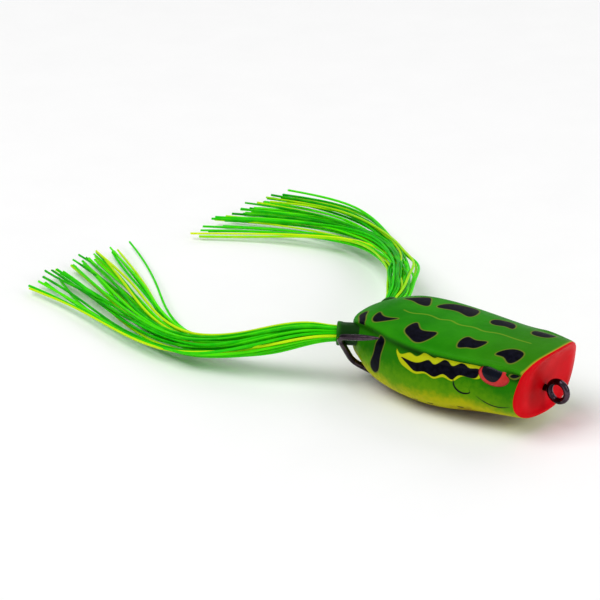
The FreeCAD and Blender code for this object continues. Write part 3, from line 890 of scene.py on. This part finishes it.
# ---- Hook ----
def hook_wire(side, material):
    """Round wire with a long tapered point and a barb raised on its inner side."""
    route = rounded_route([sided(p, side) for p in HOOK_ROUTE], HOOK_RADII)
    gone = np.concatenate([[0], np.cumsum(np.linalg.norm(np.diff(route, axis=0), axis=1))])
    to_tip = gone[-1] - gone
    size = np.clip(to_tip / POINT_LENGTH, 0, 1) ** POINT_CURVE
    size = np.where(to_tip < POINT_LENGTH, np.maximum(size, TIP_SIZE), 1.0)
    rings = swept(route, round_ring(WIRE_R, 24), size)
    ahead = unit(route[-1] - route[-4])
    shankwards = sided(BARB_SIDE, side)
    inward = unit(shankwards - ahead * (ahead @ shankwards))
    barb = np.interp(to_tip, BARB_SPAN, [0.0, 1.0, 0.0])
    facing = np.clip(unit(rings - route[:, None]) @ inward, 0, 1) ** BARB_NARROWING
    rings = rings + (barb[:, None] * facing)[..., None] * (inward * BARB_HEIGHT - ahead * BARB_RAKE)
    piece = mesh_piece(f"{side}_hook", rings.reshape(-1, 3), grid_faces(*rings.shape[:2]), [material], sharp=55)
    outward_faces(piece.data)
    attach(piece, "hook")
    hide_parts(f"{side}_hook_wire")


def line_tie(material):
    """The ring, drawn out into the neck that the wires are brazed to."""
    around, columns = 96, 20
    angles = np.arange(around) * 2 * math.pi / around
    centres = np.stack([np.cos(angles), 0 * angles, np.sin(angles)], axis=-1)
    tube = round_ring(EYE_WIRE_R, columns)
    rings = centres[:, None] * (EYE_RING_R + tube[None, :, :1]) + tube[None, :, 1:] * np.array([0, 1.0, 0])
    points = rings.reshape(-1, 3)
    faces = [(i * columns + j, i * columns + (j + 1) % columns, (i + 1) % around * columns + (j + 1) % columns,
              (i + 1) % around * columns + j) for i in range(around) for j in range(columns)]
    neck = lathed(NECK_PROFILE, (-EYE_RING_R, 0, 0), (-1, 0, 0), 24)
    faces += [tuple(v + len(points) for v in face) for face in grid_faces(*neck.shape[:2])]
    points = np.vstack([points, neck.reshape(-1, 3)])
    piece = mesh_piece("line_tie_ring", points, faces, [material], sharp=60)
    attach(piece, "hook")
    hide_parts("line_tie_eye")


def turned_piece(name, profile, centre, axis, material, lumps):
    """A lathe form with a softly uneven skin."""
    along, radius = np.array(profile, float).T
    places = np.linspace(0, along[-1], 60)
    rounded = np.interp(places, along, radius)
    rings = lathed(list(zip(places, rounded)), centre, axis)
    wave = np.sin(rings @ np.array([1.9, 2.7, 3.3])) * np.sin(rings @ np.array([-2.3, 1.3, 2.1]))
    middle = np.asarray(centre, float) + unit(axis) * places[:, None]
    out = rings - middle[:, None]
    rings = middle[:, None] + out * (1 + lumps * wave[..., None])
    piece = mesh_piece(name, rings.reshape(-1, 3), grid_faces(*rings.shape[:2]), [material])
    outward_faces(piece.data)
    return piece


def hook_fittings():
    braze = turned_piece("braze", BRAZE_PROFILE, BRAZE_START, BRAZE_AXIS, dull_braze(), 0.04)
    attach(braze, "hook")
    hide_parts("shank_braze")
    keel = turned_piece("keel", KEEL_PROFILE, KEEL_START, KEEL_AXIS, cast_lead(), 0.03)
    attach(keel, "hook")
    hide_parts("keel_weight")


# ---- Legs ----
def collar(side, material):
    """Soft tube with a thickened, rounded mouth."""
    axis = collar_axis(side)
    heel = sided(COLLAR_BASE, side) - axis * COLLAR_IN
    length = COLLAR_IN + COLLAR_OUT
    profile = [(0.0, COLLAR_BORE_R), (0.0, COLLAR_R), (length - 1.5, COLLAR_R),
               (length - 1.15, COLLAR_R + 0.12)]
    for angle in np.radians(np.arange(0, 181, 20)):
        middle = (COLLAR_R + COLLAR_BORE_R) / 2 + 0.1
        reach = (COLLAR_R - COLLAR_BORE_R) / 2 + 0.1
        profile.append((length - 0.4 + 0.4 * math.sin(angle), middle + reach * math.cos(angle)))
    profile.append((length - 0.9, COLLAR_BORE_R))
    rings = lathed(profile, heel, axis, 72)
    rows, columns = rings.shape[:2]
    faces = grid_faces(rows, columns, capped=False)
    last = (rows - 1) * columns
    faces += [(last + j, last + (j + 1) % columns, (j + 1) % columns, j) for j in range(columns)]
    piece = mesh_piece(f"{side}_collar", rings.reshape(-1, 3), faces, [material], sharp=50)
    outward_faces(piece.data)
    along = (rings.reshape(-1, 3) - heel) @ axis
    store(piece.data, "edge", fade(along, length - 1.3, length - 0.5) * 0.8)
    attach(piece, "lure_body")
    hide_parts(f"{side}_leg_collar")


def strand_seats():
    """Places of the strands in the bunch, as a hexagon: across and upwards, in strand pitches."""
    seats = []
    for row in range(-STRAND_RINGS, STRAND_RINGS + 1):
        count = 2 * STRAND_RINGS + 1 - abs(row)
        seats += [(column - (count - 1) / 2, row * math.sqrt(3) / 2) for column in range(count)]
    return seats


def strand_route(side, index, seat, spread):
    """From inside the collar, through the bunch at seat, to a tip whose place in the fan is spread."""
    axis, bore_axis = unit(LEG_AXIS[side]), collar_axis(side)
    mouth = collar_mouth(side)
    sideways = unit(np.cross((0, 0, 1), axis))
    upright = np.cross(axis, sideways)
    bore_side = unit(np.cross((0, 0, 1), bore_axis))
    bore_upright = np.cross(bore_axis, bore_side)
    in_bore = (bore_side * seat[0] + bore_upright * seat[1]) * BORE_PITCH
    route = [mouth - bore_axis * back + in_bore for back in (3.0, 1.2)]
    for out, pitch in ((1.2, MOUTH_PITCH), (ROOT_LENGTH, BUNCH_PITCH)):
        route.append(mouth + axis * out + (sideways * seat[0] + upright * seat[1]) * pitch)
    centres = [mouth + axis * ROOT_LENGTH] + [np.array(k[:3]) for k in LEG_KNOTS[side]]
    centres.append(centres[-2] - (1000.0, 0, 0))
    for i, (x, y, z, half_width, half_height) in enumerate(LEG_KNOTS[side], start=1):
        along = unit((centres[i + 1] - centres[i - 1]) * (1, 1, 0))
        share = fade(i, 0.5, 5.0)
        across, upwards = np.array(seat) * (1 - share) + np.array(spread) * share
        place = np.array((x, y, z)) + np.cross((0, 0, 1), along) * (across / STRAND_RINGS * half_width)
        place[2] += upwards / STRAND_RINGS * half_height
        if i == len(LEG_KNOTS[side]):
            place -= along * (TIP_STAGGER * ((index * GOLDEN) % 1.0))
        route.append(place)
    return through(route, 90)


def clumped(seats):
    """The seats' places in the fan, drawn sideways into clumps."""
    places = np.array(seats)
    middles = np.linspace(-STRAND_RINGS, STRAND_RINGS, CLUMPS) + random.normal(0, 0.15, CLUMPS)
    nearest = np.abs(places[:, :1] - middles).argmin(axis=1)
    places[:, 0] += CLUMP_PULL * (middles[nearest] - places[:, 0])
    return places


def wandering(route, side_on):
    """Lets a strand wave a little more and more towards its tip; a few bow out of the bunch."""
    share = np.linspace(0, 1, len(route))
    grow = fade(share, 0.12, 0.9)
    phase = random.uniform(0, 2 * math.pi, WAVES)
    rate = random.uniform(*WAVE_RATES, WAVES)
    height = random.normal(0, WAVE_HEIGHT, WAVES)
    sideways = sum(h * np.sin(2 * math.pi * r * share + p) for h, r, p in zip(height, rate, phase))
    lift = LIFT * random.normal() * np.sin(2 * math.pi * LIFT_RATE * share + phase[0])
    bow = random.choice(BOWS) * bell(share, random.uniform(0.2, 0.34), 0.09)
    moved = route + side_on * (grow * sideways + bow)[:, None]
    moved[:, 2] += grow * lift
    moved[:, 2] = np.maximum(moved[:, 2], FLOOR_Z + STRAND_R + 0.1)
    return moved


def strand_ring():
    """A strand's section: a square cut from sheet, with slightly rounded corners."""
    angles = np.arange(8) * math.pi / 4 + math.pi / 8
    square = np.stack([np.cos(angles), np.sin(angles)], axis=-1)
    return STRAND_R * np.sign(square) * np.abs(square) ** 0.6 * (1.0, 0.82)


def leg(side, materials):
    """One skirt of strands in two colours, bending from the body to the leg at the collar's mouth."""
    seats = strand_seats()
    order = random.permutation(len(seats))
    places = clumped(seats)
    ring = strand_ring()
    made = {shade: ([], [], []) for shade in materials}
    for index, seat in enumerate(seats):
        spread = places[order[index] if index % STRAY_EVERY == 2 else index]
        route = strand_route(side, index, seat, spread)
        side_on = unit(np.cross((0, 0, 1), route[-1] - route[30]))
        route = wandering(route, side_on)
        rings = swept(route, ring, turn=random.uniform(0, math.pi), twist=random.normal(0, 2.5))
        points, faces, tones = made["lime" if index % LIME_EVERY == 1 else "green"]
        first = sum(len(p) for p in points)
        points.append(rings.reshape(-1, 3))
        faces += [tuple(v + first for v in face) for face in grid_faces(*rings.shape[:2])]
        tones.append(np.full(len(points[-1]), random.uniform(0, 1)))
    for shade, (points, faces, tones) in made.items():
        piece = mesh_piece(f"{side}_{shade}_strands", np.vstack(points), faces, [materials[shade]], sharp=60)
        outward_faces(piece.data)
        store(piece.data, "shade", np.concatenate(tones))
        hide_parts(f"{side}_leg_{shade}_strands", *([f"{side}_leg_root"] if shade == "green" else []))
        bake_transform(piece)


# ---- Stage ----
FLOOR_HALF = 2.0                   # metres, like the lights
LIT_PLACE = (-0.05, 0.0, 0.0)
SOFTBOXES = [                      # name, place, size and power
    ("key", (-0.5, -0.7, 1.5), 1.4, 20.0),
    ("fill", (1.2, 0.1, 0.6), 0.7, 6.0),
    ("back", (-0.2, 1.4, 1.0), 1.2, 6.0),
]
WORLD_STRENGTH = 0.33
AZIMUTH, ELEVATION, ROLL = (math.radians(angle) for angle in (41.15, 22.59, -1.359))
CAMERA_AIM, CAMERA_DISTANCE = Vector((-88.07, 12.41, -4.0)) * MM, 596.8 * MM
LENS_LENGTH, SENSOR_WIDTH = 140.77, 36.0


def floor():
    mesh = bpy.data.meshes.new("floor")
    corners = [(-1, -1), (1, -1), (1, 1), (-1, 1)]
    mesh.from_pydata([(x * FLOOR_HALF, y * FLOOR_HALF, FLOOR_Z * MM) for x, y in corners], [], [(0, 1, 2, 3)])
    mesh.materials.append(floor_paper())
    plane = bpy.data.objects.new("floor", mesh)
    bpy.context.scene.collection.objects.link(plane)


def softbox(name, place, size, power):
    lamp = bpy.data.lights.new(name, "AREA")
    lamp.shape = "SQUARE"
    lamp.size = size
    lamp.energy = power
    holder = bpy.data.objects.new(name, lamp)
    holder.location = Vector(place)
    holder.rotation_euler = (Vector(LIT_PLACE) - Vector(place)).to_track_quat("-Z", "Y").to_euler()
    bpy.context.scene.collection.objects.link(holder)


def lights():
    for lamp in SOFTBOXES:
        softbox(*lamp)
    world = bpy.data.worlds.new("studio")
    world.use_nodes = True
    background = world.node_tree.nodes["Background"]
    background.inputs["Color"].default_value = (1.0, 1.0, 1.0, 1.0)
    background.inputs["Strength"].default_value = WORLD_STRENGTH
    bpy.context.scene.world = world


def camera():
    """Stands in front, to the right and above, a little tilted."""
    back = Vector((math.sin(AZIMUTH) * math.cos(ELEVATION), -math.cos(AZIMUTH) * math.cos(ELEVATION),
                   math.sin(ELEVATION)))
    right = Vector((math.cos(AZIMUTH), math.sin(AZIMUTH), 0))
    up = back.cross(right)
    tilted_right = right * math.cos(ROLL) + up * math.sin(ROLL)
    tilted_up = up * math.cos(ROLL) - right * math.sin(ROLL)
    lens = bpy.data.cameras.new("camera")
    lens.lens = LENS_LENGTH
    lens.sensor_width = SENSOR_WIDTH
    lens.clip_start, lens.clip_end = 0.01, 20.0
    holder = bpy.data.objects.new("camera", lens)
    turned = Matrix((tilted_right, tilted_up, back)).transposed()
    holder.matrix_world = Matrix.Translation(CAMERA_AIM + back * CAMERA_DISTANCE) @ turned.to_4x4()
    bpy.context.scene.collection.objects.link(holder)
    bpy.context.scene.camera = holder


# ---- Build ----
def dress(node, material):
    """Gives a carried-over CAD node its material."""
    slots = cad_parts[node].data.materials
    slots.clear()
    slots.append(material)


camera()
lights()
floor()
bpy.context.scene.view_settings.view_transform = "Standard"
body_shell()
eye_material, steel, collar_material = eye_gloss(), black_nickel(), collar_plastic()
strands = {
    "green": strand_rubber("green_strand", colour(6, 140, 4), colour(24, 200, 2), colour(92, 246, 4)),
    "lime": strand_rubber("lime_strand", colour(136, 226, 6), colour(182, 238, 10), colour(222, 246, 20)),
}
band = band_rubber()
for side_name in SIDES:
    eyeball(side_name, eye_material)
    hook_wire(side_name, steel)
    collar(side_name, collar_material)
    leg(side_name, strands)
    dress(f"{side_name}_leg_band", band)
line_tie(steel)
hook_fittings()
dress("leg_core", strands["green"])
